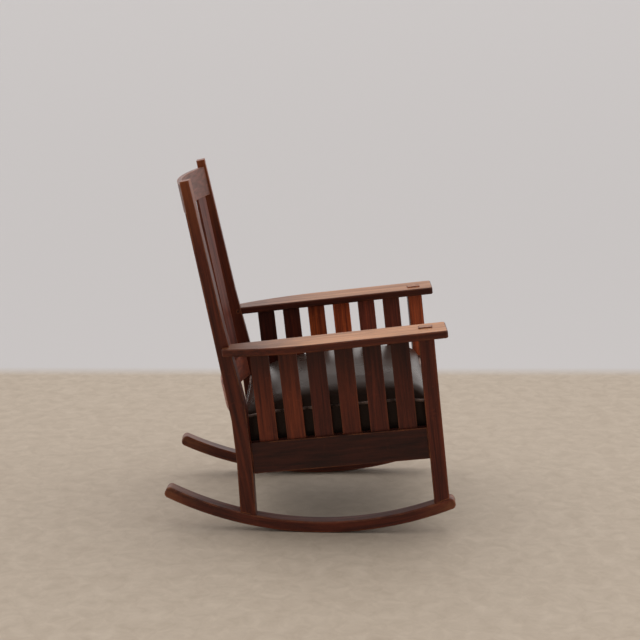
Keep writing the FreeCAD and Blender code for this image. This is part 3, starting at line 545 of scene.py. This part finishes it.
def black_leather(name, rubbed, dry):
    """Black leather: a pebbled grain, soft creases, and greyer, drier patches where it is rubbed."""
    material = bpy.data.materials.new(name)
    material.use_nodes = True
    tree = material.node_tree
    shader = tree.nodes["Principled BSDF"]
    place = add(tree, "ShaderNodeTexCoord").outputs["Object"]
    patches = noise(tree, place, (0.07, 0.07, 0.07), 4.0, 0.6)
    creases = noise(tree, place, (0.022, 0.016, 0.02), 5.0, 0.62, 0.8)
    pebble = add(tree, "ShaderNodeTexVoronoi", {"feature": "F1"}, Vector=place, Scale=620.0).outputs[0]
    colour = mixed(tree, ranged(tree, patches, 0.42, 0.75, 0.0, rubbed), (0.036, 0.0230, 0.0175, 1.0), dry)
    tree.links.new(colour, shader.inputs["Base Color"])
    tree.links.new(ranged(tree, patches, 0.3, 0.7, 0.25, 0.33), shader.inputs["Roughness"])
    height = sums(tree, "MULTIPLY_ADD", pebble, 0.12, creases)
    bump = add(tree, "ShaderNodeBump", {}, Strength=0.045, Distance=0.0010, Height=height).outputs[0]
    tree.links.new(bump, shader.inputs["Normal"])
    shader.inputs["Specular IOR Level"].default_value = 0.12
    shader.inputs["Specular Tint"].default_value = (1.0, 0.84, 0.78, 1.0)
    return material


cushion.data.materials.append(black_leather("black_leather", 0.6, (0.050, 0.032, 0.025, 1.0)))
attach(cushion, "seat")
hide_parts("seat_cover", "seat_stuffing")


# Corded seam: a leather-covered cord sewn round the top edge of the cushion.
# It is a round tube along the seam line, paler than the rest: partly rubbed wear, partly a painted
# highlight.
def tube(name, path, radius, sides):
    """A closed tube: circles of points round a closed path, square to the way it runs."""
    ahead = np.roll(path, -1, 0) - np.roll(path, 1, 0)
    ahead /= np.linalg.norm(ahead, axis=1, keepdims=True)
    up = np.broadcast_to((0.0, math.sin(seat_tilt), math.cos(seat_tilt)), path.shape)
    out = np.cross(ahead, up)
    out /= np.linalg.norm(out, axis=1, keepdims=True)
    over = np.cross(out, ahead)
    turn = np.linspace(0, 2 * math.pi, sides, endpoint=False)[None, :, None]
    points = path[:, None] + radius * (np.cos(turn) * out[:, None] + np.sin(turn) * over[:, None])
    index = np.arange(points.shape[0] * sides).reshape(-1, sides)
    follow = np.roll(index, -1, 0)
    quads = np.stack([index, np.roll(index, -1, 1), np.roll(follow, -1, 1), follow], -1).reshape(-1, 4)
    mesh = bpy.data.meshes.new(name)
    mesh.from_pydata(points.reshape(-1, 3).tolist(), [], quads[:, ::-1].tolist())
    mesh.polygons.foreach_set("use_smooth", np.ones(len(mesh.polygons), bool))
    mesh.update()
    piece = bpy.data.objects.new(name, mesh)
    bpy.context.scene.collection.objects.link(piece)
    return piece


cord_line = seat_ring(around, 0.0006, 0.0026, 0.005, 0.026)
welt = tube("seat_welt", in_chair(*cord_line.T, rail_top + seam - 0.001), 0.0042, 12)
welt.data.materials.append(black_leather("rubbed_and_lit_leather", 2.0, (0.32, 0.235, 0.200, 1.0)))
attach(welt, "seat")

# Dust cover: thin black cotton stretched over the underside of the seat, hanging a little between the frame.
# It hides the webbing and is tacked to the seat frame round its edge.
cover_points = 61
cover_inset = 0.010
cover_height = 0.28785
cover_sag = 0.0012
back_share, across_share = np.meshgrid(np.linspace(0, 1, cover_points), np.linspace(-1, 1, cover_points),
                                       indexing="ij")
cover_depth = seat_front + cover_inset + back_share * (seat_back - seat_front - 2 * cover_inset)
cover_half = seat_half(cover_depth) - cover_inset
sag = cover_sag * np.sin(math.pi * back_share) * np.cos(across_share * math.pi / 2)
cover = in_chair(across_share * cover_half, cover_depth, cover_height - sag)
index = np.arange(cover_points * cover_points).reshape(cover_points, cover_points)
quads = np.stack([index[:-1, :-1], index[1:, :-1], index[1:, 1:], index[:-1, 1:]], -1).reshape(-1, 4)
mesh = bpy.data.meshes.new("dust_cover")
mesh.from_pydata(cover.reshape(-1, 3).tolist(), [], quads.tolist())
mesh.polygons.foreach_set("use_smooth", np.ones(len(mesh.polygons), bool))
mesh.update()
dust_cover = bpy.data.objects.new("dust_cover", mesh)
bpy.context.scene.collection.objects.link(dust_cover)
dust_cover.data.materials.append(woven("black_cambric", 0.0012, (0.035, 0.034, 0.033),
                                       (0.012, 0.012, 0.012), backward))
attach(dust_cover, "seat")
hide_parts("seat_dust_cover")

# Floor: a pale, faintly mottled studio floor under and round the chair.
# It turns to a paler grey some way off on the chair's left.
floor_reach = 400
floor_mesh = bpy.data.meshes.new("floor")
floor_mesh.from_pydata([(-floor_reach, -floor_reach, 0), (floor_reach, -floor_reach, 0),
                        (floor_reach, floor_reach, 0), (-floor_reach, floor_reach, 0)], [], [(0, 1, 2, 3)])
floor = bpy.data.objects.new("floor", floor_mesh)
bpy.context.scene.collection.objects.link(floor)
paving = bpy.data.materials.new("pale_floor")
paving.use_nodes = True
tree = paving.node_tree
place = add(tree, "ShaderNodeTexCoord").outputs["Object"]
mottle = noise(tree, place, (0.05, 0.05, 0.05), 6.0, 0.65, 0.6)
beyond = add(tree, "ShaderNodeSeparateXYZ", {}, Vector=place).outputs[0]
ground = mixed(tree, ranged(tree, mottle, 0.3, 0.7), (0.46, 0.38, 0.295, 1.0), (0.56, 0.475, 0.38, 1.0))
ground = mixed(tree, ranged(tree, beyond, 1.47, 1.6), ground, (0.615, 0.602, 0.605, 1.0))
tree.links.new(ground, tree.nodes["Principled BSDF"].inputs["Base Color"])
tree.nodes["Principled BSDF"].inputs["Roughness"].default_value = 0.75
floor_mesh.materials.append(paving)

# Light: a pale room, brightest on the chair's left and a little brighter overhead, dim on its right.
# One broad, weak and soft panel hangs over the chair, to the front and right.
world = bpy.data.worlds.new("pale_room")
world.use_nodes = True
sky = world.node_tree
way = add(sky, "ShaderNodeSeparateXYZ", {}, Vector=add(sky, "ShaderNodeTexCoord").outputs["Generated"])
glow = sums(sky, "ADD", ranged(sky, way.outputs[0], -0.75, 0.20, 0.22, 1.14),
            ranged(sky, way.outputs[2], 0.0, 1.0, 0.0, 0.06))
sky.links.new(glow, sky.nodes["Background"].inputs["Strength"])
sky.nodes["Background"].inputs["Color"].default_value = (1.0, 0.965, 0.945, 1.0)
bpy.context.scene.world = world
panel_light = bpy.data.lights.new("overhead_panel", "AREA")
panel_light.shape = "DISK"
panel_light.size = 3.0
panel_light.energy = 8.0
panel = bpy.data.objects.new("overhead_panel", panel_light)
panel.location = (-0.6, -1.0, 3.4)
panel_aim = Vector((0.0, 0.0, 0.4))
panel.rotation_euler = (panel_aim - Vector(panel.location)).to_track_quat("-Z", "Y").to_euler()
bpy.context.scene.collection.objects.link(panel)
bpy.context.scene.view_settings.view_transform = "Standard"

# Camera: at a standing viewer's height, looking at the chair's right side from across the room.
camera_data = bpy.data.cameras.new("photo_view")
camera_data.sensor_width = 36.0
camera_data.lens = 84.375
camera = bpy.data.objects.new("photo_view", camera_data)
pitch, yaw = 0.2155, 0.0039
ahead = Vector((math.cos(pitch) * math.cos(yaw), math.cos(pitch) * math.sin(yaw), -math.sin(pitch)))
right = Vector((math.sin(yaw), -math.cos(yaw), 0.0))
up = right.cross(ahead)
viewpoint = (-4.2701, -0.04396, 1.48114)
camera.matrix_world = Matrix.Translation(viewpoint) @ Matrix((right, up, -ahead)).transposed().to_4x4()
bpy.context.scene.collection.objects.link(camera)
bpy.context.scene.camera = camera
